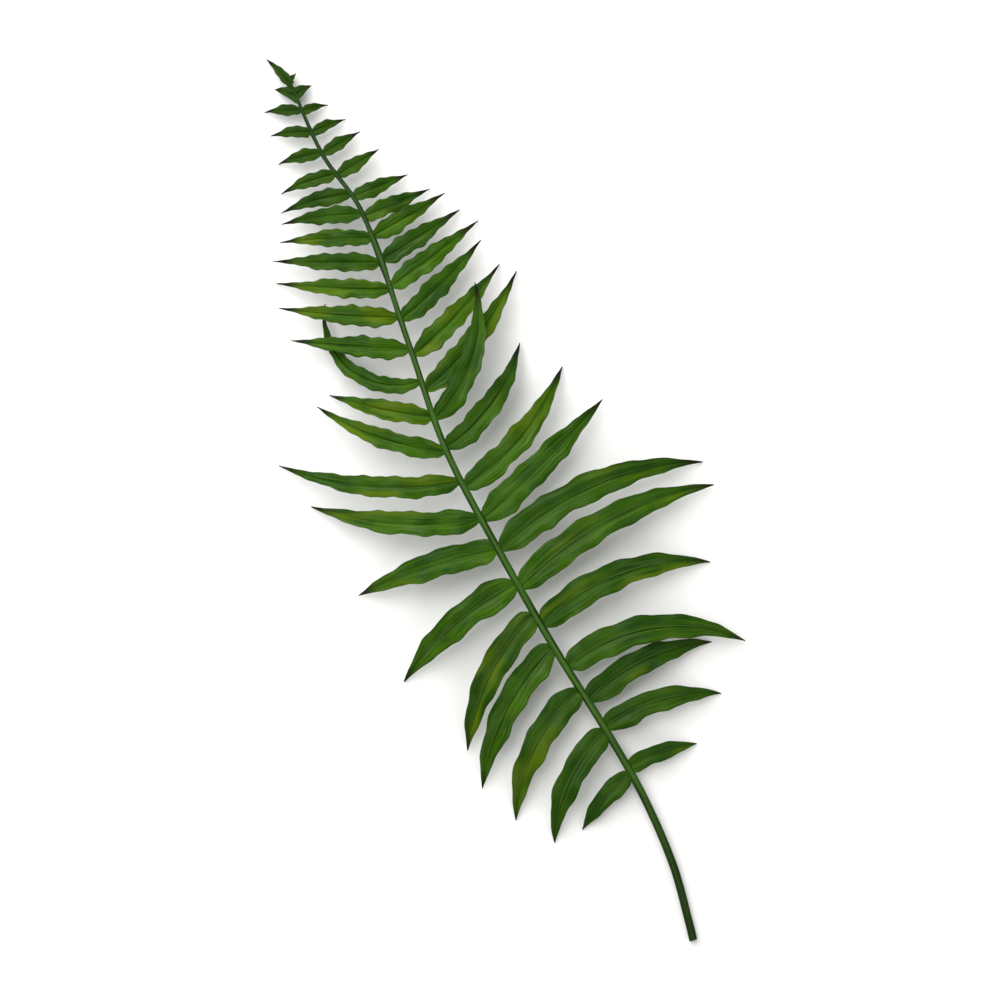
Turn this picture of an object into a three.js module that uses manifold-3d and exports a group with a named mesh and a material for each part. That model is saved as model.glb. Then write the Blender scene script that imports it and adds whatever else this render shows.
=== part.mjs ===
// Fern frond: one picked frond, lying face up on a flat surface. Millimetres, +Z up.
// +Y runs from the cut end of the stalk to the tip, +X is the frond's right side seen from above.
// The origin is on the surface, in the middle of the flat spot under the cut end of the stalk.
import * as THREE from "three";
import Module from "manifold-3d";

const wasm = await Module();
wasm.setup();

const degree = Math.PI / 180;

// The end of the stalk is flat below, this far either side of the origin
const flatReach = 4;
// The stalk: place along the frond, offset to the right, height of its middle
const stalkLine = [
  [-flatReach, -0.9, 1.6],
  [flatReach, 0.9, 1.6],
  [34, 6.4, 2.7],
  [72, 8.0, 5.2],
  [112, 5.4, 9.0],
  [150, 1.3, 12.6],
  [208, -2.5, 17.0],
  [262, -4.0, 19.6],
  [315, 2.2, 20.0],
  [383, 9.9, 14.6],
  [418, 5.0, 9.4],
  [458, 6.4, 4.2],
];
const stalkTip = 458;
// Place along the frond and radius there
const stalkRadius = [
  [-flatReach, 2.0],
  [80, 1.9],
  [200, 1.8],
  [300, 1.45],
  [380, 1.15],
  [430, 0.9],
  [458, 0.6],
];
const stalkSides = 8;
const stalkSteps = 41;
// A slightly thicker stretch of the stalk, round the eighth pair of leaflets
const collarMiddle = 361;
const collarReach = 10;
const collarSwell = 0.45;

// How the leaflets change down each side. Pair, counted from the tip; place along the frond; length;
// lean away from the tip's direction and bend towards the cut end, in degrees seen from above; and width
const pairCount = 23;
const leftSide = [
  [1, 441.8, 19, 69, 6, 5.4],
  [3, 418.6, 22, 71, 8, 6.2],
  [5, 394.2, 36, 69, 12, 7.8],
  [7, 370.2, 45, 72, 2, 8.4],
  [9, 343.8, 58, 68, -12, 9.0],
  [11, 313.8, 60, 65, -8, 10.0],
  [13, 279.6, 53, 58, -12, 9.6],
  [14, 262.2, 66, 46, -30, 9.6],
  [15, 246.6, 88, 59, -30, 10.4],
  [16, 226.4, 84, 59, -26, 11.8],
  [17, 209.2, 72, 79, 18, 13.4],
  [18, 190.8, 74, 102, 28, 14.4],
  [19, 173.7, 74, 126, 40, 13.6],
  [20, 155.2, 78, 123, 38, 14],
  [21, 130.6, 75, 122, 46, 13.6],
  [22, 107.6, 64, 125, 50, 12.6],
  [23, 82.3, 36, 113, 26, 9.6],
];
const rightSide = [
  [1, 441.0, 13, 94, 0, 4.4],
  [3, 417.4, 22, 87, -8, 6.2],
  [5, 392.6, 28, 98, -8, 7.6],
  [7, 370.4, 41, 80, -10, 9.0],
  [9, 344.8, 53, 68, -12, 10.2],
  [11, 310.2, 62, 60, -18, 10.8],
  [12, 293.0, 76, 53, -30, 11.4],
  [14, 264.2, 66, 59, -44, 11.4],
  [15, 243.3, 77, 65, -38, 12.4],
  [16, 224.4, 84, 74.5, -6, 13.8],
  [17, 208.2, 109, 96, 46, 14.6],
  [18, 187.6, 107, 91, 40, 14.6],
  [19, 166.7, 91, 101, 52, 14.2],
  [20, 143.4, 91, 113, 68, 14.0],
  [21, 124.4, 70, 99, 44, 13.0],
  [22, 108.6, 60, 107, 45, 12.0],
  [23, 86.5, 36, 100, 30, 9.0],
];
// How far the middle of a leaflet stands up, as a share of its length
const lift = 0.06;
const lobeLift = 0.03;
// How far each measure strays either way from leaflet to leaflet; about half of the tips touch the surface
const spread = { length: 0.03, lean: 2, bend: 3, lift: 0.012, tipHeight: 4.5, place: 0.6, roll: 0.1 };
// Leaflets that strayed: one curls up below its neighbours, one turns to the tip above its neighbours
const strays = {
  left12: { length: 73, lean: 33, bend: -116, width: 7.8, lift: -0.04, tipHeight: 0.4 },
  right11: { tipHeight: 0 },
  right12: { tipHeight: 0 },
  right13: { length: 72, lean: 36, bend: -60, lift: 0.11, tipHeight: 14 },
};
// The tip ends in one leaflet with three small lobes at its foot, two of which are wedges: they are
// widest where they are grown to the stalk, by this many times their half width, and taper evenly
const tipLobes = [
  { side: -1, place: 455, length: 18, lean: 20, bend: 8, width: 4.6, tipHeight: 0.6 },
  { side: -1, place: 449.5, length: 11, lean: 50, bend: 8, width: 6.4, tipHeight: 1.6, web: 1.2 },
  { side: 1, place: 450, length: 9, lean: 80, bend: 6, width: 5.6, tipHeight: 1.2, web: 1.3 },
  { side: 1, place: 457, length: 5, lean: 60, bend: 0, width: 2.4, tipHeight: 3 },
];

// The blade of a leaflet
const bladeThickness = 0.65;
const footHalfWidth = 0.9;
const tipHalfWidth = 0.22;
// Share of the length, then the half width there on the tipward side and on the side towards the cut end,
// as shares of the widest: first of an old leaflet, with its full foot, then of a young one, which is slender
const outline = [
  [0, 0.1, 0.12, 0.12, 0.16],
  [0.02, 0.42, 0.46, 0.32, 0.46],
  [0.06, 0.78, 0.82, 0.56, 0.8],
  [0.14, 1.0, 1.05, 0.82, 1.02],
  [0.33, 0.97, 1.0, 1.0, 1.06],
  [0.54, 0.93, 0.94, 0.88, 0.88],
  [0.72, 0.7, 0.69, 0.54, 0.52],
  [0.86, 0.4, 0.38, 0.25, 0.24],
  [0.95, 0.16, 0.15, 0.11, 0.1],
  [1, 0.03, 0.03, 0.03, 0.03],
];
const youngFrom = 190; // leaflets are old up to this place along the frond
const youngAt = 320; // and young from this one on
const valley = 0.12; // the edges stand above the midrib by this share of the half width
const ruffle = 0.17; // height of the waved edge, as a share of the half width
const scallop = 0.09; // and how much the outline waves with it
const leastSwell = 0.4; // the waves of the outline swell and fade between these shares of their size
const mostSwell = 1.5;
const slowPace = 0.41; // and do so this much more slowly than they follow each other
const unevenness = 0.6;
const shortestWave = 8.5; // a wave of the edge is this long, and longer on a wide blade
const waveGrowth = 0.8;
const stationsPerWave = 3.3;
const fewestStations = 8;
const endStations = 4; // and these many more for the foot and the tip

// Random numbers that are the same in every run
let seed = 208;
function draw() {
  seed = (1664525 * seed + 1013904223) % 4294967296;
  return (2 * seed) / 4294967296 - 1;
}

// The value of a column of a list of rows at a place, on one smooth curve through the rows
function valueAt(rows, column, place) {
  const last = rows.length - 1;
  let row = 0;
  while (row < last - 1 && place > rows[row + 1][0]) row += 1;
  const slope = (i) => {
    const before = rows[Math.max(i - 1, 0)];
    const after = rows[Math.min(i + 1, last)];
    return (after[column] - before[column]) / (after[0] - before[0]);
  };
  const span = rows[row + 1][0] - rows[row][0];
  const t = Math.min(Math.max((place - rows[row][0]) / span, 0), 1);
  const start = rows[row][column];
  const end = rows[row + 1][column];
  return (
    start * (1 + 2 * t) * (1 - t) ** 2 +
    end * t ** 2 * (3 - 2 * t) +
    span * t * (1 - t) * (slope(row) * (1 - t) - slope(row + 1) * t)
  );
}

// The stalk's middle and its direction seen from above
function stalkAt(place) {
  const step = 0.5;
  const x = valueAt(stalkLine, 1, place);
  const aside = valueAt(stalkLine, 1, place + step) - valueAt(stalkLine, 1, place - step);
  const forward = new THREE.Vector2(aside, 2 * step).normalize();
  return { x, y: place, z: valueAt(stalkLine, 2, place), forward };
}

function stalkThickness(place) {
  const off = (place - collarMiddle) / collarReach;
  return valueAt(stalkRadius, 1, place) + collarSwell * Math.exp(-(off ** 4));
}

// A closed solid from its points and its triangles
function solidFrom(points, triangles) {
  const vertProperties = new Float32Array(points.flat());
  const triVerts = new Uint32Array(triangles.flat());
  return new wasm.Manifold(new wasm.Mesh({ numProp: 3, vertProperties, triVerts }));
}

// The stalk: rings of points joined to a tube, closed at both ends and flat where it rests
function makeStalk() {
  const rings = [-flatReach];
  for (let i = 0; i <= stalkSteps; i += 1) {
    rings.push(flatReach + ((stalkTip - flatReach) * i) / stalkSteps);
  }
  const points = [];
  for (const place of rings) {
    const { x, y, z, forward } = stalkAt(place);
    const radius = stalkThickness(place);
    for (let side = 0; side < stalkSides; side += 1) {
      const angle = ((side + 0.5) * 2 * Math.PI) / stalkSides;
      const across = radius * Math.cos(angle);
      const height = Math.max(z + radius * Math.sin(angle), 0);
      points.push([x + across * forward.y, y - across * forward.x, height]);
    }
  }
  const triangles = [];
  for (let ring = 0; ring < rings.length - 1; ring += 1) {
    for (let side = 0; side < stalkSides; side += 1) {
      const a = ring * stalkSides + side;
      const b = ring * stalkSides + ((side + 1) % stalkSides);
      triangles.push([a, b + stalkSides, b], [a, a + stalkSides, b + stalkSides]);
    }
  }
  const lastRing = (rings.length - 1) * stalkSides;
  for (let side = 1; side < stalkSides - 1; side += 1) {
    triangles.push([0, side, side + 1]);
    triangles.push([lastRing, lastRing + side + 1, lastRing + side]);
  }
  return solidFrom(points, triangles);
}

// Uneven waves of the outline, about -1 to 1, with rather pointed tops
function knees(leaf, share, edge) {
  const phase = leaf.phase[edge > 0 ? 0 : 1];
  const slow = slowPace * leaf.waves * share + 2 * phase;
  const angle = leaf.waves * share + phase + unevenness * Math.sin(slow + 1);
  const pointed = 1 - 2 * Math.abs(Math.sin(angle / 2 - Math.PI / 4));
  const swell = leastSwell + (mostSwell - leastSwell) * (0.5 + 0.5 * Math.sin(slow));
  return (swell * (Math.sin(angle) + pointed)) / 2;
}

// Half the width of a blade at a share of its length, on its tipward side (+1) or the other (-1)
function halfWidth(leaf, share, edge) {
  const old = valueAt(outline, edge > 0 ? 1 : 2, share);
  const young = valueAt(outline, edge > 0 ? 3 : 4, share);
  const leafy = old + (young - old) * leaf.youth;
  const fullness = leaf.web > 0 ? leaf.web * (1 - share) : leafy;
  const wave = 1 + scallop * knees(leaf, share, edge);
  const least = share < 0.5 ? footHalfWidth : tipHalfWidth;
  return Math.max((leaf.width / 2) * fullness * wave, least);
}

// A point on the underside of a leaflet: its share of the length, and across from -1 to +1 edge
function leafPoint(leaf, share, across) {
  const turn = (leaf.bend * degree * share) / 2;
  const arc = Math.abs(turn) > 1e-6 ? Math.sin(turn) / turn : 1;
  const start = (leaf.lean - leaf.bend / 2) * degree;
  const heading = start + turn;
  const forward = leaf.root.forward;
  const outward = new THREE.Vector2(forward.y, -forward.x).multiplyScalar(leaf.side);
  const reach = leaf.length * share * arc;
  const middle = new THREE.Vector2(leaf.root.x, leaf.root.y)
    .addScaledVector(forward, reach * Math.cos(heading))
    .addScaledVector(outward, reach * Math.sin(heading));
  const facing = start + 2 * turn;
  const half = halfWidth(leaf, share, across);
  const point = middle
    .addScaledVector(forward, across * half * Math.sin(facing))
    .addScaledVector(outward, -across * half * Math.cos(facing));
  const rootHeight = leaf.root.z - bladeThickness / 2;
  const spine =
    rootHeight +
    (leaf.tipHeight - rootHeight) * share ** 2 +
    leaf.lift * leaf.length * 4 * share * (1 - share);
  const edgeWave = ruffle * Math.sin(leaf.waves * share + leaf.phase[across > 0 ? 2 : 3]);
  const rise = half * (Math.abs(across) * valley + across * leaf.roll);
  const height = spine + rise + half * Math.abs(across) ** 1.5 * edgeWave;
  return [point.x, point.y, Math.max(height, 0)];
}

// A leaflet: a thin waved blade with both faces cut into the same triangles
function makeLeaflet(leaf) {
  const wavy = Math.round((leaf.waves / (2 * Math.PI)) * stationsPerWave);
  const stations = Math.max(wavy + endStations, fewestStations);
  const columns = [-1, 0, 1];
  const points = [];
  for (let i = 0; i < stations; i += 1) {
    for (const across of columns) {
      const [x, y, z] = leafPoint(leaf, i / (stations - 1), across);
      points.push([x, y, z], [x, y, z + bladeThickness]);
    }
  }
  const under = (i, j) => 2 * (i * columns.length + j);
  const upper = (i, j) => under(i, j) + 1;
  const triangles = [];
  const face = (a, b, c) => triangles.push(leaf.side > 0 ? [a, b, c] : [a, c, b]);
  for (let i = 0; i < stations - 1; i += 1) {
    for (let j = 0; j < columns.length - 1; j += 1) {
      face(upper(i, j), upper(i + 1, j), upper(i + 1, j + 1));
      face(upper(i, j), upper(i + 1, j + 1), upper(i, j + 1));
      face(under(i, j), under(i + 1, j + 1), under(i + 1, j));
      face(under(i, j), under(i, j + 1), under(i + 1, j + 1));
    }
    const edge = columns.length - 1;
    face(under(i, 0), under(i + 1, 0), upper(i + 1, 0));
    face(under(i, 0), upper(i + 1, 0), upper(i, 0));
    face(under(i, edge), upper(i + 1, edge), under(i + 1, edge));
    face(under(i, edge), upper(i, edge), upper(i + 1, edge));
  }
  const end = stations - 1;
  for (let j = 0; j < columns.length - 1; j += 1) {
    face(under(0, j), upper(0, j), upper(0, j + 1));
    face(under(0, j), upper(0, j + 1), under(0, j + 1));
    face(under(end, j), upper(end, j + 1), upper(end, j));
    face(under(end, j), under(end, j + 1), upper(end, j + 1));
  }
  return solidFrom(points, triangles);
}

// What every leaflet needs to be drawn, from its side, its place on the stalk and its own measures
function leafletOf(side, place, measures) {
  const turns = measures.length / (shortestWave + waveGrowth * measures.width);
  const phase = [0, 1, 2, 3].map(() => Math.PI * draw());
  const waves = 2 * Math.PI * turns;
  const roll = spread.roll * draw();
  const youth = Math.min(Math.max((place - youngFrom) / (youngAt - youngFrom), 0), 1);
  return { side, root: stalkAt(place), youth, waves, phase, roll, web: 0, ...measures };
}

// All leaflets, from the tip down, left and right in turn
function allLeaflets() {
  const leaves = [];
  for (let pair = 1; pair <= pairCount; pair += 1) {
    for (const [name, side, rows] of [
      ["left", -1, leftSide],
      ["right", 1, rightSide],
    ]) {
      const measures = {
        length: valueAt(rows, 2, pair) * (1 + spread.length * draw()),
        lean: valueAt(rows, 3, pair) + spread.lean * draw(),
        bend: valueAt(rows, 4, pair) + spread.bend * draw(),
        lift: lift + spread.lift * draw(),
        tipHeight: Math.max(spread.tipHeight * draw(), 0),
        width: valueAt(rows, 5, pair),
        ...strays[name + pair],
      };
      const place = valueAt(rows, 1, pair) + spread.place * draw();
      leaves.push(leafletOf(side, place, measures));
    }
  }
  for (const { side, place, ...measures } of tipLobes) {
    leaves.push(leafletOf(side, place, { lift: lobeLift, ...measures }));
  }
  return leaves;
}

const leaves = allLeaflets();
const leafletSolids = leaves.map(makeLeaflet);
const whole = leafletSolids.reduce((sum, leaflet) => sum.add(leaflet), makeStalk());

const surface = whole.getMesh();
const geometry = new THREE.BufferGeometry();
geometry.setAttribute("position", new THREE.BufferAttribute(surface.vertProperties, 3));
geometry.setIndex(new THREE.BufferAttribute(surface.triVerts, 1));
geometry.computeVertexNormals();

const leafGreen = new THREE.MeshStandardMaterial({ color: 0x3f6a1e, roughness: 0.45, metalness: 0 });
const frond = new THREE.Mesh(geometry, leafGreen);
frond.name = "frond";

const group = new THREE.Group();
group.add(frond);

export default group;
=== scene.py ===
# %% [markdown]
# # A fern frond, picked and laid down
# The real thing is one grown piece: a long thin stalk that carries a ladder of leaflets on both sides.
# It lies on a pale table with its upper face up, and the camera looks down on it.
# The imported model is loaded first. It is the frame: the frond made here has to keep its form and its size,
# and only adds what is too fine for it, such as smooth waved edges, a grooved rib and the finish.

# %% The frame
import math
from types import SimpleNamespace

import bpy
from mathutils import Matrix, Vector


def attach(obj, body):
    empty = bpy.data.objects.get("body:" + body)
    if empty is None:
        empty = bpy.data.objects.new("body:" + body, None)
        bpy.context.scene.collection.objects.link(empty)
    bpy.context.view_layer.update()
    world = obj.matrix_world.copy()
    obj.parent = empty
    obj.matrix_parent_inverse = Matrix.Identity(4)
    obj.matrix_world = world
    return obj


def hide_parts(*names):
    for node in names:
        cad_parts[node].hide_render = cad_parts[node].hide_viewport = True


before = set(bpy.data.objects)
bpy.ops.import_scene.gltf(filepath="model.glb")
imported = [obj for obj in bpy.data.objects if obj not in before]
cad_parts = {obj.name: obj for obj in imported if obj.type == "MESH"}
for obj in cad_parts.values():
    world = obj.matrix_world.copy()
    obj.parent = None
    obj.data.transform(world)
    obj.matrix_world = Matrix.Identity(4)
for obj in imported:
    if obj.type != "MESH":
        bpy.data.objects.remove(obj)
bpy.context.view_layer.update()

# %% [markdown]
# ## Measures
# Blender counts in metres, but a leaf is easier to note in millimetres, so every list here is in
# millimetres and the points of a mesh are multiplied by `mm` when they are placed.
# A measure that changes along the frond is a short list of rows, read off a smooth curve through them.
# Fifty separate numbers would be harder to change, and would look less like something that grew.

# %% A smooth curve through a list of rows
mm = 0.001
degree = math.pi / 180


def value_at(rows, column, place):
    """The value of a column at a place, on one smooth curve through the rows."""
    last = len(rows) - 1
    row = 0
    while row < last - 1 and place > rows[row + 1][0]:
        row += 1

    def slope(i):
        before, after = rows[max(i - 1, 0)], rows[min(i + 1, last)]
        return (after[column] - before[column]) / (after[0] - before[0])

    span = rows[row + 1][0] - rows[row][0]
    t = min(max((place - rows[row][0]) / span, 0), 1)
    start, end = rows[row][column], rows[row + 1][column]
    return (
        start * (1 + 2 * t) * (1 - t) ** 2
        + end * t**2 * (3 - 2 * t)
        + span * t * (1 - t) * (slope(row) * (1 - t) - slope(row + 1) * t)
    )


print("halfway between 1 and 4 on a curve through 0, 1 and 4:", value_at([[0, 0], [1, 1], [2, 4]], 1, 1.5))


# %% The line of the stalk, from its cut end to the tip
# Place along the frond, offset to the right, height of the stalk's middle
flat_reach = 4
stalk_line = [
    [-flat_reach, -0.9, 1.6],
    [flat_reach, 0.9, 1.6],
    [34, 6.4, 2.7],
    [72, 8.0, 5.2],
    [112, 5.4, 9.0],
    [150, 1.3, 12.6],
    [208, -2.5, 17.0],
    [262, -4.0, 19.6],
    [315, 2.2, 20.0],
    [383, 9.9, 14.6],
    [418, 5.0, 9.4],
    [458, 6.4, 4.2],
]
stalk_tip = 458


def stalk_at(place):
    """The stalk's middle, and its direction seen from above."""
    x, z = value_at(stalk_line, 1, place), value_at(stalk_line, 2, place)
    step = 0.5
    aside = value_at(stalk_line, 1, place + step) - value_at(stalk_line, 1, place - step)
    forward = Vector((aside, 2 * step)).normalized()
    return SimpleNamespace(x=x, y=place, z=z, forward=forward)


print("the stalk's middle halfway up, in mm:", stalk_at(stalk_tip / 2))

# %% How the leaflets change down each side
# Pair, counted from the tip; place along the frond; length; lean away from the tip's direction and
# bend towards the cut end, in degrees seen from above; and width
pair_count = 23
left_side = [
    [1, 441.8, 19, 69, 6, 5.4],
    [3, 418.6, 22, 71, 8, 6.2],
    [5, 394.2, 36, 69, 12, 7.8],
    [7, 370.2, 45, 72, 2, 8.4],
    [9, 343.8, 58, 68, -12, 9.0],
    [11, 313.8, 60, 65, -8, 10.0],
    [13, 279.6, 53, 58, -12, 9.6],
    [14, 262.2, 66, 46, -30, 9.6],
    [15, 246.6, 88, 59, -30, 10.4],
    [16, 226.4, 84, 59, -26, 11.8],
    [17, 209.2, 72, 79, 18, 13.4],
    [18, 190.8, 74, 102, 28, 14.4],
    [19, 173.7, 74, 126, 40, 13.6],
    [20, 155.2, 78, 123, 38, 14],
    [21, 130.6, 75, 122, 46, 13.6],
    [22, 107.6, 64, 125, 50, 12.6],
    [23, 82.3, 36, 113, 26, 9.6],
]
right_side = [
    [1, 441.0, 13, 94, 0, 4.4],
    [3, 417.4, 22, 87, -8, 6.2],
    [5, 392.6, 28, 98, -8, 7.6],
    [7, 370.4, 41, 80, -10, 9.0],
    [9, 344.8, 53, 68, -12, 10.2],
    [11, 310.2, 62, 60, -18, 10.8],
    [12, 293.0, 76, 53, -30, 11.4],
    [14, 264.2, 66, 59, -44, 11.4],
    [15, 243.3, 77, 65, -38, 12.4],
    [16, 224.4, 84, 74.5, -6, 13.8],
    [17, 208.2, 109, 96, 46, 14.6],
    [18, 187.6, 107, 91, 40, 14.6],
    [19, 166.7, 91, 101, 52, 14.2],
    [20, 143.4, 91, 113, 68, 14.0],
    [21, 124.4, 70, 99, 44, 13.0],
    [22, 108.6, 60, 107, 45, 12.0],
    [23, 86.5, 36, 100, 30, 9.0],
]
lift = 0.06  # how far the middle of a leaflet stands up, as a share of its length
lobe_lift = 0.03
spread = dict(length=0.03, lean=2, bend=3, lift=0.012, tip_height=4.5, place=0.6, roll=0.1)
# Leaflets that strayed: one curls up below its neighbours, one turns to the tip above its neighbours
strays = {
    "left12": dict(length=73, lean=33, bend=-116, width=7.8, lift=-0.04, tip_height=0.4),
    "right11": dict(tip_height=0),
    "right12": dict(tip_height=0),
    "right13": dict(length=72, lean=36, bend=-60, lift=0.11, tip_height=14),
}
# The tip ends in one leaflet with three small lobes at its foot, two of which are wedges: they are
# widest at their foot, by this many times their half width, grown to the stalk along all of it
tip_lobes = [
    dict(side=-1, place=455, length=18, lean=20, bend=8, width=4.6, tip_height=0.6, foot=2),
    dict(side=-1, place=449.5, length=11, lean=50, bend=8, width=6.4, tip_height=1.6, web=1.6),
    dict(side=1, place=450, length=9, lean=80, bend=6, width=5.6, tip_height=1.2, web=1.6),
    dict(side=1, place=457, length=5, lean=60, bend=0, width=2.4, tip_height=3),
]
print(pair_count, "pairs of leaflets, and", len(tip_lobes), "lobes at the tip")

# %% [markdown]
# ## Chance that repeats
# No two leaflets of a real frond are alike, so each measure strays a little. The draws come from a small
# seeded sum instead of Blender's own random numbers, so that every run grows the same frond.
# They are drawn in the same order as in the frame's own construction, so each blade lies where its solid is.

# %% All leaflets, from the tip down, left and right in turn
seed = 208
foot_half_width = 0.9
shortest_wave = 8.5  # a wave of the edge is this long, and longer on a wide blade
wave_growth = 0.8
young_from, young_at = 190, 320  # leaflets are old up to the first place, and young from the second on


def draw():
    """The next random number, from -1 to 1."""
    global seed
    seed = (1664525 * seed + 1013904223) % 4294967296
    return 2 * seed / 4294967296 - 1


def leaflet_of(name, side, place, measures):
    """What a leaflet needs to be drawn, from its side, its place on the stalk and its own measures."""
    turns = measures["length"] / (shortest_wave + wave_growth * measures["width"])
    phase = [math.pi * draw() for _ in range(4)]
    roll = spread["roll"] * draw()
    root = stalk_at(place)
    waves = 2 * math.pi * turns
    youth = min(max((place - young_from) / (young_at - young_from), 0), 1)
    leaf = SimpleNamespace(name=name, side=side, root=root, youth=youth, waves=waves, phase=phase)
    vars(leaf).update(roll=roll, web=0, foot=foot_half_width)
    vars(leaf).update(measures)
    return leaf


leaflets = []
for pair in range(1, pair_count + 1):
    for name, side, rows in (("left", -1, left_side), ("right", 1, right_side)):
        measures = dict(
            length=value_at(rows, 2, pair) * (1 + spread["length"] * draw()),
            lean=value_at(rows, 3, pair) + spread["lean"] * draw(),
            bend=value_at(rows, 4, pair) + spread["bend"] * draw(),
            lift=lift + spread["lift"] * draw(),
            tip_height=max(spread["tip_height"] * draw(), 0),
            width=value_at(rows, 5, pair),
        )
        measures.update(strays.get(name + str(pair), {}))
        place = value_at(rows, 1, pair) + spread["place"] * draw()
        leaflets.append(leaflet_of(name, side, place, measures))
for lobe in tip_lobes:
    leaflets.append(leaflet_of("tip", lobe["side"], lobe["place"], dict(lift=lobe_lift, **lobe)))
# What only the looks need is drawn last, so that it changes nothing above
most_twist = 0.22
most_fold = 0.6
for leaf in leaflets:
    leaf.twist = most_twist * draw()
    leaf.fold = 1 + most_fold * draw()
    leaf.tone = draw()
    leaf.gold = draw()
print(len(leaflets), "leaflets, the longest in mm:", round(max(leaf.length for leaf in leaflets), 1))

# %% [markdown]
# ## One blade, to be copied
# A leaflet is a thin blade with a rib down its middle. The rib lies in a groove, each half is slightly
# puffed between rib and edge, fine pleats run lengthwise and the edge rolls down.
# All leaflets share that relief, so it is modelled once, on a flat grid two units long and two wide:
# rows of points are selected by their place and moved up or down, the near ones following along.
# Later each copy is bent into its own leaflet. The rows crowd at both ends, where the outline turns fast.

# %% The grid
stations = 64
columns = 24
crowding = 0.62  # how much closer the stations stand at the foot and the tip

bpy.ops.object.select_all(action="DESELECT")
bpy.ops.mesh.primitive_grid_add(x_subdivisions=stations, y_subdivisions=columns, size=2)
blade = bpy.context.active_object
blade.name = "blade"
blade.data.uv_layers[0].name = "blade"


def share_of(x):
    """The share of the blade's length at a station of the grid, which runs from -1 to 1."""
    even = (x + 1) / 2
    return even - crowding * math.sin(2 * math.pi * even) / (2 * math.pi)


for vertex in blade.data.vertices:
    vertex.co.x = share_of(vertex.co.x)
for corner, spot in zip(blade.data.loops, blade.data.uv_layers["blade"].data):
    place = blade.data.vertices[corner.vertex_index].co
    spot.uv = (place.x, (place.y + 1) / 2)
print("blade grid:", len(blade.data.vertices), "points")


# %% The relief, in half widths of the blade
def select_parts(piece, kind, chosen):
    """Goes to edit mode with only those points, edges or faces selected that chosen(part) picks."""
    bpy.ops.object.mode_set(mode="EDIT")
    bpy.ops.mesh.select_mode(type=kind)
    bpy.ops.mesh.select_all(action="DESELECT")
    bpy.ops.object.mode_set(mode="OBJECT")
    mesh = piece.data
    for part in {"VERT": mesh.vertices, "EDGE": mesh.edges, "FACE": mesh.polygons}[kind]:
        part.select = chosen(part)
    bpy.ops.object.mode_set(mode="EDIT")


def raise_rows(piece, offsets, height, reach, falloff="SMOOTH"):
    """Moves the rows this far from the rib up, and what is within reach with them."""
    half_row = 0.5 / columns

    def on_row(vertex):
        return any(abs(abs(vertex.co.y) - offset) < half_row for offset in offsets)

    select_parts(piece, "VERT", on_row)
    bpy.ops.transform.translate(
        value=(0, 0, height),
        use_proportional_edit=reach > 0,
        proportional_edit_falloff=falloff,
        proportional_size=max(reach, half_row),
    )
    bpy.ops.object.mode_set(mode="OBJECT")


raise_rows(blade, offsets=[0.5], height=0.07, reach=0.5)
raise_rows(blade, offsets=[0.25, 0.5, 0.75], height=-0.03, reach=0)
raise_rows(blade, offsets=[0], height=-0.1, reach=0.2, falloff="SHARP")
raise_rows(blade, offsets=[1], height=-0.05, reach=0.14, falloff="SHARP")
heights = [vertex.co.z for vertex in blade.data.vertices]
print("relief from", round(min(heights), 3), "to", round(max(heights), 3), "half widths")

# %% How thick the blade is
# The weights say it as a share of the thickness of the rib at the foot
rib_thickness = 1.0
edge_share = 0.4
rib_reach = 0.1  # half widths
thickness = blade.vertex_groups.new(name="thickness")
for vertex in blade.data.vertices:
    rib = math.exp(-((vertex.co.y / rib_reach) ** 2)) * (1 - vertex.co.x)
    thickness.add([vertex.index], edge_share + (1 - edge_share) * rib, "REPLACE")
print("blade thickness in mm:", rib_thickness * edge_share, "to", rib_thickness)

# %% [markdown]
# ## Bending a copy into its leaflet
# A leaflet could be bent with a curve or a lattice, but it also widens, waves and scallops along its
# length. A formula for one point does all of that at once: it takes the point's share of the length
# and its place across the blade, and gives its place in the frond.
# It is the frame's own formula, with a few finer waves on the edge that the solid is too coarse for,
# and with the foot of the two wedges at the tip turned along the stalk.

# %% The outline and its waves
blade_thickness = 0.65
tip_half_width = 0.22
# Share of the length, then the half width there on the tipward side and on the side towards the cut
# end, as shares of the widest: first of an old leaflet, with its full foot, then of a slender young one
outline = [
    [0, 0.1, 0.12, 0.12, 0.16],
    [0.02, 0.42, 0.46, 0.32, 0.46],
    [0.06, 0.78, 0.82, 0.56, 0.8],
    [0.14, 1.0, 1.05, 0.82, 1.02],
    [0.33, 0.97, 1.0, 1.0, 1.06],
    [0.54, 0.93, 0.94, 0.88, 0.88],
    [0.72, 0.7, 0.69, 0.54, 0.52],
    [0.86, 0.4, 0.38, 0.25, 0.24],
    [0.95, 0.16, 0.15, 0.11, 0.1],
    [1, 0.03, 0.03, 0.03, 0.03],
]
valley = 0.12  # the edges stand above the rib by this share of the half width
ruffle = 0.17  # height of the waved edge, as a share of the half width
scallop = 0.09  # and how much the outline waves with it
least_swell, most_swell = 0.4, 1.5  # the waves swell and fade between these shares of their size
slow_pace = 0.41  # and do so this much more slowly than they follow each other
unevenness = 0.6
fine_scallop = 0.018
young_unrest = 3.4  # the finest waves of a young leaflet are this many times stronger again
fine_pace = 2.2  # the finest waves are this much shorter
fine_ruffle = 0.03
edge_power = 1.5  # the waves fade from the edge to the rib, as the place across to this power
level_share = 0.3  # a twisted blade is level at this share of its length


def fine_wave(leaf, share, edge):
    """The finest waves of an edge, from -1 to 1."""
    phase = leaf.phase[0 if edge > 0 else 1]
    return math.sin(fine_pace * leaf.waves * share + 3 * phase)


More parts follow.
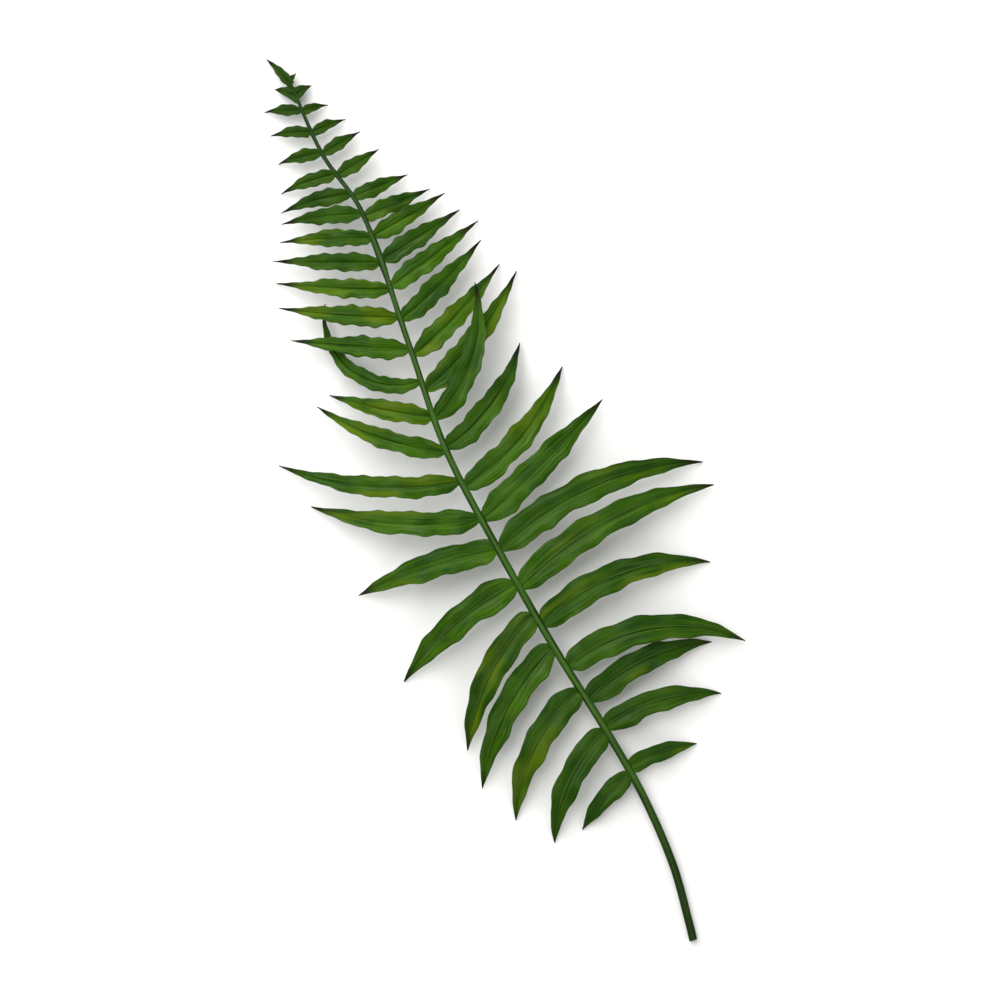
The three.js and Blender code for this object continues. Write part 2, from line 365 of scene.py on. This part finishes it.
def knees(leaf, share, edge):
    """Uneven waves of an edge, about -1 to 1, with rather pointed tops."""
    phase = leaf.phase[0 if edge > 0 else 1]
    slow = slow_pace * leaf.waves * share + 2 * phase
    angle = leaf.waves * share + phase + unevenness * math.sin(slow + 1)
    pointed = 1 - 2 * abs(math.sin(angle / 2 - math.pi / 4))
    swell = least_swell + (most_swell - least_swell) * (0.5 + 0.5 * math.sin(slow))
    return swell * (math.sin(angle) + pointed) / 2


def half_width(leaf, share, edge):
    """Half the width of a blade, on its tipward side (+1) or the other (-1)."""
    old = value_at(outline, 1 if edge > 0 else 2, share)
    young = value_at(outline, 3 if edge > 0 else 4, share)
    leafy = old + (young - old) * leaf.youth
    fullness = leaf.web * (1 - share) if leaf.web else leafy
    fine = fine_scallop * (1 + young_unrest * leaf.youth) * fine_wave(leaf, share, edge)
    wave = 1 + scallop * knees(leaf, share, edge) + fine
    least = leaf.foot if share < 0.5 else tip_half_width
    return max(leaf.width / 2 * fullness * wave, least)


longest = max(leaflets, key=lambda leaf: leaf.length)
print("half the width of the longest leaflet, halfway along, in mm:", round(half_width(longest, 0.5, 1), 1))


# %% The place of a point
def leaf_point(leaf, share, across, relief):
    """A point on the upper face of a leaflet, across from -1 to 1, raised by relief half widths."""
    turn = leaf.bend * degree * share / 2
    arc = math.sin(turn) / turn if abs(turn) > 1e-6 else 1
    start = (leaf.lean - leaf.bend / 2) * degree
    heading = start + turn
    facing = start + 2 * turn
    if leaf.web:
        facing += (math.pi / 2 - facing) * (1 - share)
    forward = leaf.root.forward
    outward = leaf.side * Vector((forward.y, -forward.x))
    reach = leaf.length * share * arc
    half = half_width(leaf, share, across)
    along = forward * math.cos(heading) + outward * math.sin(heading)
    sideways = forward * math.sin(facing) - outward * math.cos(facing)
    flat = Vector((leaf.root.x, leaf.root.y)) + along * reach + sideways * (across * half)
    root = stalk_at(flat.y) if leaf.web else leaf.root
    root_height = root.z - blade_thickness / 2
    spine = (
        root_height
        + (leaf.tip_height - root_height) * share**2
        + leaf.lift * leaf.length * 4 * share * (1 - share)
    )
    edge_wave = ruffle * math.sin(leaf.waves * share + leaf.phase[2 if across > 0 else 3])
    edge_wave += fine_ruffle * fine_wave(leaf, share, across)
    tilt = across * (leaf.roll + leaf.twist * (share - level_share))
    rise = abs(across) * valley * leaf.fold + tilt + abs(across) ** edge_power * edge_wave + relief
    height = max(spine + rise * half, 0) + blade_thickness
    return Vector((flat.x, flat.y, height)) * mm


tip_leaf = leaflets[-len(tip_lobes)]
print("the frond's tip in mm:", [round(x / mm, 1) for x in leaf_point(tip_leaf, 1, 0, 0)])

# %% [markdown]
# ## All blades
# Each leaflet gets a copy of the blade with a mesh of its own, because every one is bent differently.
# The blades of one side are then joined, given their thickness by Solidify, and smoothed.
# Solidify grows downwards, so the upper faces stay exactly where the formula puts them.
# Numbers that the finish needs later are stored on the points: how dark and how golden the leaflet is,
# where on the stalk it grows, and whether a point is on the underside.


# %% A copy for each leaflet
def store(mesh, name, values):
    """Keeps one number for each point of a mesh, where a material can read it."""
    layer = mesh.attributes.new(name, "FLOAT", "POINT")
    layer.data.foreach_set("value", values)


def bent_copy(leaf):
    """The blade, bent into one leaflet."""
    piece = blade.copy()
    piece.data = blade.data.copy()
    bpy.context.collection.objects.link(piece)
    count = len(piece.data.vertices)
    for vertex in piece.data.vertices:
        share, across, relief = vertex.co
        vertex.co = leaf_point(leaf, share, across, relief)
    if leaf.side < 0:
        piece.data.flip_normals()
    store(piece.data, "tone", [leaf.tone] * count)
    store(piece.data, "gold", [leaf.gold] * count)
    store(piece.data, "place_share", [leaf.root.y / stalk_tip] * count)
    return piece


# %% Join, thicken and smooth
smooth_angle = 50 * degree


def blades(name, chosen):
    """One piece from the chosen leaflets."""
    bpy.ops.object.select_all(action="DESELECT")
    copies = [bent_copy(leaf) for leaf in chosen]
    for piece in copies:
        piece.select_set(True)
    piece = copies[0]
    bpy.context.view_layer.objects.active = piece
    bpy.ops.object.join()
    piece.name = piece.data.name = name
    upper = len(piece.data.vertices)
    solidify = piece.modifiers.new("thickness", "SOLIDIFY")
    solidify.thickness = rib_thickness * mm
    solidify.offset = -1
    solidify.vertex_group = "thickness"
    bpy.ops.object.modifier_apply(modifier=solidify.name)
    under = len(piece.data.vertices) - upper
    store(piece.data, "under", [0.0] * upper + [1.0] * under)
    for vertex in piece.data.vertices:
        vertex.co.z = max(vertex.co.z, 0)
    bpy.ops.object.shade_smooth_by_angle(angle=smooth_angle)
    print(name, "has", len(chosen), "blades and", len(piece.data.polygons), "faces")
    return piece


left_blades = blades("leaflets_left", [leaf for leaf in leaflets if leaf.name == "left"])
right_blades = blades("leaflets_right", [leaf for leaf in leaflets if leaf.name == "right"])
tip_blades = blades("tip_leaflet", [leaf for leaf in leaflets if leaf.name == "tip"])
bpy.data.objects.remove(blade)

# %% [markdown]
# ## The stalk
# The stalk is round, with a groove along its upper side and a small swelling where each leaflet joins.
# It could be a curve with a round bevel, but then the groove and the swellings would be hard to add.
# So it starts as a straight cylinder of the right length, whose long edges are cut twice by Subdivide
# into four hundred short ones. Its rings are then moved on to the line, and swell and shrink on the way.

# %% A straight cylinder with many rings
stalk_sides = 32
cuts = 19
# Place along the frond and radius there
stalk_radius = [
    [-flat_reach, 2.0],
    [80, 1.9],
    [200, 1.8],
    [300, 1.45],
    [380, 1.15],
    [430, 0.9],
    [458, 0.6],
]
stalk_length = stalk_tip + flat_reach

bpy.ops.object.select_all(action="DESELECT")
bpy.ops.mesh.primitive_cylinder_add(
    vertices=stalk_sides,
    radius=stalk_radius[0][1] * mm,
    depth=stalk_length * mm,
    rotation=(math.pi / 2, 0, 0),
    location=(0, (stalk_tip - flat_reach) / 2 * mm, 0),
)
stalk = bpy.context.active_object
stalk.name = stalk.data.name = "stalk"
stalk.data.uv_layers[0].name = "stalk"
bpy.ops.object.transform_apply(location=True, rotation=True, scale=True)


def runs_along(edge):
    """Whether an edge of the stalk runs along it, and not round it."""
    first, second = (stalk.data.vertices[i].co for i in edge.vertices)
    return abs(first.y - second.y) > 1e-6


for _ in range(2):
    select_parts(stalk, "EDGE", runs_along)
    bpy.ops.mesh.subdivide(number_cuts=cuts)
    bpy.ops.object.mode_set(mode="OBJECT")
print("stalk:", len(stalk.data.vertices) // stalk_sides, "rings")

# %% A dished cut end
cut_rim = 0.35
cut_depth = 0.3
select_parts(stalk, "FACE", lambda face: face.normal.y < -0.9)
bpy.ops.mesh.inset(thickness=cut_rim * mm)
bpy.ops.transform.translate(value=(0, cut_depth * mm, 0))
bpy.ops.object.mode_set(mode="OBJECT")
print("stalk with its cut end:", len(stalk.data.polygons), "faces")

# %% The rings moved on to the line
collar_middle = 361  # a slightly thicker stretch, round the eighth pair of leaflets
collar_reach = 10
collar_swell = 0.45
groove_depth = 0.3  # share of the radius
groove_reach = 24 * degree
knuckle = 0.25  # the stalk swells by this much where a leaflet joins
knuckle_reach = 2.2
straight_radius = stalk_radius[0][1]


def groove_share(angle):
    """1 in the middle of the groove on top, 0 away from it."""
    from_top = math.remainder(angle - math.pi / 2, 2 * math.pi)
    return math.exp(-((from_top / groove_reach) ** 2))


def stalk_thickness(place, angle):
    """The stalk's radius at a place and at an angle round it, 0 to the right and a quarter turn up."""
    off = (place - collar_middle) / collar_reach
    radius = value_at(stalk_radius, 1, place) + collar_swell * math.exp(-(off**4))
    radius *= 1 - groove_depth * groove_share(angle)
    for leaf in leaflets:
        gap = (place - leaf.root.y) / knuckle_reach
        if abs(gap) < 3:
            radius += knuckle * math.exp(-(gap**2)) * max(leaf.side * math.cos(angle), 0)
    return radius


angles = [math.atan2(vertex.co.z, vertex.co.x) for vertex in stalk.data.vertices]
store(stalk.data, "groove", [groove_share(angle) for angle in angles])
for vertex, angle in zip(stalk.data.vertices, angles):
    place = vertex.co.y / mm
    inner = math.hypot(vertex.co.x, vertex.co.z) / mm / straight_radius
    middle = stalk_at(place)
    radius = inner * stalk_thickness(place, angle)
    aside = radius * math.cos(angle)
    height = max(middle.z + radius * math.sin(angle), 0)
    x = middle.x + aside * middle.forward.y
    y = middle.y - aside * middle.forward.x
    vertex.co = Vector((x, y, height)) * mm
bpy.ops.object.shade_smooth_by_angle(angle=smooth_angle)
print("stalk:", len(stalk.data.polygons), "faces")

# %% [markdown]
# ## Shader nodes as sums
# A finish is a net of nodes. Written node by node it is long and hard to follow, so a small class wraps
# a socket and lets Python's own signs add the Math nodes, and one method adds any other node.


# %% A value on its way
class Value:
    """A number, colour or vector on its way through a finish."""

    def __init__(self, finish, socket):
        self.finish = finish
        self.socket = socket

    def maths(self, operation, first, second):
        return self.finish.add("ShaderNodeMath", {"operation": operation}, {0: first, 1: second})

    def __add__(self, other):
        return self.maths("ADD", self, other)

    def __sub__(self, other):
        return self.maths("SUBTRACT", self, other)

    def __rsub__(self, other):
        return self.maths("SUBTRACT", other, self)

    def __mul__(self, other):
        return self.maths("MULTIPLY", self, other)

    __radd__ = __add__
    __rmul__ = __mul__

    def __abs__(self):
        return self.maths("ABSOLUTE", self, 0)


# %% A finish
class Finish:
    """A material under construction."""

    def __init__(self, name):
        self.material = bpy.data.materials.new(name)
        self.material.use_nodes = True
        self.tree = self.material.node_tree
        self.tree.nodes.clear()

    def add(self, kind, settings, inputs, output=0):
        """Adds a node: its settings first, then its inputs, as values or links. Gives one output."""
        node = self.tree.nodes.new(kind)
        for name, setting in settings.items():
            setattr(node, name, setting)
        for name, value in inputs.items():
            by_name = (s for s in node.inputs if name in (s.name, s.identifier))
            socket = node.inputs[name] if isinstance(name, int) else next(by_name)
            if isinstance(value, Value):
                self.tree.links.new(value.socket, socket)
            else:
                socket.default_value = value
        return Value(self, node.outputs[output]) if node.outputs else None

    def number(self, name):
        """A number stored on the points of the piece."""
        return self.add("ShaderNodeAttribute", {"attribute_name": name}, {}, "Fac")

    def part(self, vector, axis):
        """One of the three parts of a vector."""
        return self.add("ShaderNodeSeparateXYZ", {}, {"Vector": vector}, axis)

    def ramp(self, value, low, high):
        """0 below low, 1 above high, and smooth between them."""
        inputs = {"Value": value, "From Min": low, "From Max": high}
        return self.add("ShaderNodeMapRange", {"interpolation_type": "SMOOTHSTEP"}, inputs)

    def mix(self, factor, first, second):
        """The first colour where factor is 0, the second where it is 1."""
        inputs = {"Factor_Float": factor, "A_Color": first, "B_Color": second}
        return self.add("ShaderNodeMix", {"data_type": "RGBA"}, inputs, 2)

    def vectors(self, operation, *inputs):
        """Sums on whole vectors."""
        return self.add("ShaderNodeVectorMath", {"operation": operation}, dict(enumerate(inputs)))

    def noise(self, place, scale, stretch=(1, 1, 1), detail=2.0):
        """Soft cloudy noise from 0 to 1, finer along the axes with more stretch."""
        stretched = self.vectors("MULTIPLY", place, stretch)
        inputs = {"Vector": stretched, "Scale": scale, "Detail": detail}
        return self.add("ShaderNodeTexNoise", {}, inputs, 0)


brightest = 255
screen_power = 2.2


def paint(red, green, blue):
    """A colour as the light it sends back, from its readings on a screen, 0 to 255."""
    return (*((part / brightest) ** screen_power for part in (red, green, blue)), 1)


print("a screen grey of 128 sends back:", round(paint(128, 128, 128)[0], 3))

# %% [markdown]
# ## The leaf finish
# The upper face is a deep satin green with soft patches of painted sheen, and painted shade darkens the half
# towards the tip. A dark line follows the rib, partly the rib's own colour and partly painted shade in its
# groove, with a painted highlight beside it on the old leaflets, and fine streaks run lengthwise. The edge
# is a thin dark line, and patches near edges and tips have turned yellow green. The youngest leaflets, near
# the frond's tip, are darker, painted shade darkens the leaflets near the cut end, and the tips of the
# blades have browned.
# A picture of a leaf would do it too, but patterns made by nodes stay sharp and differ on each leaflet.
# Rib, streaks and edge follow the blade's own UV map, and the clouds follow its place in space.

# %% Where a spot is on its blade
green = Finish("leaf_green")
uv = green.add("ShaderNodeUVMap", {"uv_map": "blade"}, {})
space = green.add("ShaderNodeTexCoord", {}, {}, "Object")
share = green.part(uv, "X")
tipward = green.part(uv, "Y") * 2 - 1  # 1 at the tipward edge, -1 at the other
across = abs(tipward)
tone = green.number("tone")
gold = green.number("gold")
place_share = green.number("place_share")
under = green.number("under")
old = 1 - green.ramp(place_share, 0.4, 0.62)
# The pattern is shifted by a leaflet's own numbers, so that no two have the same one
own_shift = green.add("ShaderNodeCombineXYZ", {}, {"X": tone * 9, "Y": gold * 5, "Z": place_share * 40})
own_uv = green.vectors("ADD", uv, own_shift)
print("leaf finish so far:", len(green.tree.nodes), "nodes")

# %% The colours of a leaflet
deep_green = paint(34, 67, 0)
fresh_green = paint(58, 93, 8)
pale_streak = paint(74, 110, 20)
dark_streak = paint(18, 46, 0)
dull_green = paint(22, 52, 6)
golden_green = paint(88, 110, 2)
# painted sheen: a pale bluish grey that stands in for the lamp's soft reflection
painted_sheen = paint(100, 126, 66)
young_green = paint(34, 56, 10)
# painted shade for the leaflets near the cut end
low_painted_shade = paint(20, 46, 4)
# painted shade for the half of a blade towards the tip
tipward_painted_shade = paint(18, 54, 0)
# the rib's own dark colour, also used for painted shade in and round the rib's groove
rib_dark_and_shade = paint(14, 36, 0)
# painted highlight for the ridge beside the rib
rib_painted_highlight = paint(104, 136, 70)
edge_dark = paint(30, 42, 4)
tip_brown = paint(26, 22, 10)
under_green = paint(72, 100, 50)
print("a fresh leaflet sends back:", [round(part, 3) for part in fresh_green[:3]])

# %% The greens
cloud = green.noise(space, scale=60, detail=3)
streaks = green.noise(own_uv, scale=1, stretch=(2.5, 16, 1), detail=3)
fine_streaks = green.noise(own_uv, scale=1, stretch=(5, 36, 1))
patches = green.noise(own_uv, scale=1, stretch=(2.5, 2, 1))
# noise that places the painted sheen, and the painted shade round the rib
sheen = green.noise(own_uv, scale=1, stretch=(3.5, 5, 1), detail=3)

colour = green.mix(green.ramp(cloud, 0.35, 0.65), deep_green, fresh_green)
colour = green.mix(green.ramp(streaks, 0.42, 0.7) * 0.7, colour, pale_streak)
colour = green.mix(green.ramp(fine_streaks, 0.5, 0.72) * 0.55, colour, dark_streak)
colour = green.mix(green.ramp(tone, -0.1, 1) * 0.4, colour, dull_green)
golden = green.ramp(patches + across * 0.06 + share * 0.08 + gold * 0.16, 0.64, 0.86)
colour = green.mix(golden * 0.7, colour, golden_green)
# painted sheen in soft patches
colour = green.mix(green.ramp(sheen, 0.52, 0.75) * 0.3, colour, painted_sheen)
colour = green.mix(green.ramp(place_share, 0.76, 1) * 0.7, colour, young_green)
# painted shade: the leaflets near the cut end are darkened
colour = green.mix((1 - green.ramp(place_share, 0.18, 0.5)) * 0.4, colour, low_painted_shade)
print("with its greens:", len(green.tree.nodes), "nodes")

# %% Rib, edge, tip and underside
# painted shade: the half towards the tip is darker, as if the folded blade turned it from the light
colour = green.mix(green.ramp(tipward, 0, 0.4) * 0.26, colour, tipward_painted_shade)
rib_fade = 1 - green.ramp(share + streaks * 0.3, 0.7, 1.05)
# a dark rib line, partly the rib's own colour and partly painted shade in its groove, and a wider band of
# painted shade round the rib
rib_line_and_shade = 1 - green.ramp(abs(tipward + old * 0.05), 0.01, 0.08)
rib_line_and_shade = rib_line_and_shade * rib_fade * green.ramp(patches, 0.2, 0.6)
rib_shade = (1 - green.ramp(across, 0.0, 0.35)) * green.ramp(sheen, 0.3, 0.7)
# painted highlight: a pale line on the ridge beside the rib of the old leaflets
rib_highlight_mask = (1 - green.ramp(abs(tipward - 0.05), 0.01, 0.07)) * rib_fade
colour = green.mix(rib_line_and_shade * 0.5 + rib_shade * 0.2, colour, rib_dark_and_shade)
colour = green.mix(rib_highlight_mask * old * 0.5, colour, rib_painted_highlight)
colour = green.mix(green.ramp(across, 0.92, 1) * 0.5, colour, edge_dark)
browned = green.ramp(share + place_share * 0.25, 0.94, 1.1)
colour = green.mix(browned * 0.9, colour, tip_brown)
colour = green.mix(under * 0.4, colour, under_green)
print("with rib and edge:", len(green.tree.nodes), "nodes")

# %% The surface
leaf_gloss = 0.09
pleat_height = 0.8  # in mm, before the strength
bump_strength = 0.6
pleats = streaks * 0.6 + fine_streaks * 0.4
inputs = {"Strength": bump_strength, "Distance": pleat_height * mm, "Height": pleats}
bump = green.add("ShaderNodeBump", {}, inputs)
roughness = 0.3 + cloud * 0.2 + under * 0.15
inputs = {"Base Color": colour, "Roughness": roughness, "Normal": bump, "Specular IOR Level": leaf_gloss}
surface = green.add("ShaderNodeBsdfPrincipled", {}, inputs)
green.add("ShaderNodeOutputMaterial", {}, {"Surface": surface})
for piece in (left_blades, right_blades, tip_blades):
    piece.data.materials.clear()
    piece.data.materials.append(green.material)
print("leaf finish:", len(green.tree.nodes), "nodes")

# %% [markdown]
# ## The stalk finish
# The stalk is streaked by fibres that run along it, and a painted highlight makes its groove paler. Towards
# the tip it is as dark as the young leaflets, and towards the cut end it darkens, partly its own browning
# and partly painted shade. The cut itself is pale.

# %% The colours of the stalk
stalk_dark = paint(12, 38, 2)
stalk_light = paint(50, 86, 22)
# painted highlight along the groove on top of the stalk
groove_painted_highlight = paint(84, 114, 54)
stalk_young = paint(18, 44, 8)
# the stalk's own browning near its base, together with painted shade
stalk_base_brown_and_shade = paint(22, 38, 12)
cut_pale = paint(140, 140, 92)
print("the fresh stalk sends back:", [round(part, 3) for part in stalk_light[:3]])

# %% Fibres, groove and cut
stem = Finish("stalk_green")
uv = stem.add("ShaderNodeUVMap", {"uv_map": "stalk"}, {})
space = stem.add("ShaderNodeTexCoord", {}, {}, "Object")
place = stem.part(space, "Y")
fibres = stem.noise(uv, scale=1, stretch=(14, 40, 1), detail=3)
cloud = stem.noise(space, scale=60)
colour = stem.mix(stem.ramp(fibres, 0.36, 0.64), stalk_dark, stalk_light)
# painted highlight: the groove on top is paler
colour = stem.mix(stem.number("groove") * 0.55, colour, groove_painted_highlight)
colour = stem.mix(stem.ramp(place, 0.27, 0.44) * 0.75, colour, stalk_young)
# darker towards the cut end: partly the stalk's own browning, partly painted shade
colour = stem.mix((1 - stem.ramp(place + cloud * 0.05, 0.04, 0.14)) * 0.75, colour, stalk_base_brown_and_shade)
colour = stem.mix(1 - stem.ramp(place, -0.0045, -0.0038), colour, cut_pale)
print("stalk finish so far:", len(stem.tree.nodes), "nodes")

# %% The surface of the stalk
stalk_gloss = 0.1
fibre_height = 0.4  # in mm, before the strength
inputs = {"Strength": bump_strength, "Distance": fibre_height * mm, "Height": fibres}
bump = stem.add("ShaderNodeBump", {}, inputs)
roughness = 0.34 + cloud * 0.2
inputs = {"Base Color": colour, "Roughness": roughness, "Normal": bump, "Specular IOR Level": stalk_gloss}
surface = stem.add("ShaderNodeBsdfPrincipled", {}, inputs)
stem.add("ShaderNodeOutputMaterial", {}, {"Surface": surface})
stalk.data.materials.clear()
stalk.data.materials.append(stem.material)
print("stalk finish:", len(stem.tree.nodes), "nodes")

# %% [markdown]
# ## Where each piece belongs
# Nothing on a frond moves by itself, so every piece rides on the one body, and together they stand for
# the one solid of the frame, which is then hidden.

# %% Ride and replace
for piece in (left_blades, right_blades, tip_blades, stalk):
    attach(piece, "root")
    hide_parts("frond")
    print(piece.name, "rides on root")

# %% [markdown]
# ## Table, light and camera
# The table is pale and plain, so that only the frond draws the eye. A large lamp above the frond's tip
# gives the main light and a soft shadow, a second from the other side and a pale world fill it in.
# The camera looks straight down, and is turned so that the tip points up and to the left.

# %% The table
table_size = 6  # metres, far wider than the picture
table_gap = 0.2  # the frond rests on the plane z = 0, and the table lies this much lower, in mm
bpy.ops.object.select_all(action="DESELECT")
bpy.ops.mesh.primitive_plane_add(size=table_size, location=(0, stalk_tip / 2 * mm, -table_gap * mm))
table = bpy.context.active_object
table.name = "table"
pale = Finish("pale_table")
surface = pale.add("ShaderNodeBsdfPrincipled", {}, {"Base Color": (0.86, 0.86, 0.85, 1), "Roughness": 0.7})
pale.add("ShaderNodeOutputMaterial", {}, {"Surface": surface})
table.data.materials.append(pale.material)
print("table:", table_size, "metres wide")

# %% The light
middle = Vector((8.7, 229.6, 10)) * mm
picture_turn = -26.07 * degree  # the frond's own direction leans to the left in the picture by this much


def lamp(name, turn, height, distance, size, power):
    """A square lamp that looks at the frond from a direction, counted from the top of the picture."""
    angle = picture_turn + turn * degree
    level = Vector((-math.sin(angle), math.cos(angle), 0)) * math.cos(height * degree)
    toward = level + Vector((0, 0, math.sin(height * degree)))
    bpy.ops.object.light_add(type="AREA", location=middle + toward * distance)
    light = bpy.context.active_object
    light.name = name
    light.rotation_euler = (-toward).to_track_quat("-Z", "Y").to_euler()
    light.data.size = size
    light.data.energy = power
    return light


lamp("main_lamp", turn=40, height=54, distance=1.5, size=1.6, power=32)
lamp("fill_lamp", turn=-130, height=40, distance=1.8, size=1.4, power=7)
world = bpy.data.worlds.new("pale_room")
bpy.context.scene.world = world
world.use_nodes = True
world.node_tree.nodes["Background"].inputs["Color"].default_value = (1, 0.99, 0.96, 1)
world.node_tree.nodes["Background"].inputs["Strength"].default_value = 0.42
bpy.context.scene.view_settings.view_transform = "Standard"
print("the lamps look at, in metres:", [round(x, 3) for x in middle])

# %% The camera
picture_width = 0.483  # metres of the table across the picture
lens, sensor = 85, 36
bpy.ops.object.camera_add(
    location=middle + Vector((0, 0, picture_width * lens / sensor)), rotation=(0, 0, picture_turn)
)
camera = bpy.context.active_object
camera.data.lens = lens
camera.data.sensor_width = sensor
bpy.context.scene.camera = camera
print("camera height in metres:", round(camera.location.z, 3))
